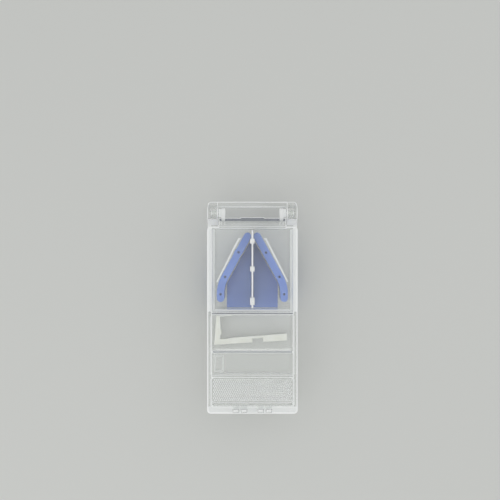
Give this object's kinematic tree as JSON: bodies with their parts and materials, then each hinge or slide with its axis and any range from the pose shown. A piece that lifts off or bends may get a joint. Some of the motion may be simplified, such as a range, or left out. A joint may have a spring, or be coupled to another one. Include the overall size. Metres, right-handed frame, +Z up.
{
  "type": "pill splitter",
  "caption": "Pocket pill splitter: clear hinged box with a blade in the lid, a blue V holder, a storage compartment and a loose safety lock.",
  "frame": {"origin": "centre of the underside, on the surface it stands on", "axes": "+Y towards the hinge along the longest side, +Z up through the lid, +X to the right"},
  "size_m": [0.038, 0.089, 0.022],
  "materials": {
    "clear_polystyrene": "clear gloss moulding",
    "stainless_steel": "ground",
    "clip_white": "translucent white moulding",
    "bed_blue": "satin moulding",
    "rail_blue": "satin moulding",
    "pin_slate": "satin",
    "lock_white": "translucent white moulding"
  },
  "bodies": {
    "tray": {"base_tray": "clear_polystyrene", "holder_frame": "clear_polystyrene", "pill_bed": "bed_blue", "left_grip_rail": "rail_blue", "right_grip_rail": "rail_blue", "left_rail_pin_rear": "pin_slate", "left_rail_pin_middle": "pin_slate", "left_rail_pin_front": "pin_slate", "right_rail_pin_rear": "pin_slate", "right_rail_pin_middle": "pin_slate", "right_rail_pin_front": "pin_slate", "storage_divider": "clear_polystyrene"},
    "lid": {"lid": "clear_polystyrene", "blade": "stainless_steel", "blade_clip_front": "clip_white", "blade_clip_middle": "clip_white", "blade_clip_rear": "clip_white", "left_hinge_pin": "clear_polystyrene", "right_hinge_pin": "clear_polystyrene"},
    "safety_lock": {"safety_lock": "lock_white"}
  },
  "joints": [
    {"name": "lid_hinge", "type": "hinge", "parent": "tray", "child": "lid", "pos_m": [0, 0.0396, 0.016], "axis": [-1, 0, 0], "range_deg": [0, 115]},
    {"name": "safety_lock_lift", "type": "slide", "parent": "tray", "child": "safety_lock", "axis": [0, 0, 1], "range_m": [0, 0.014]}
  ]
}
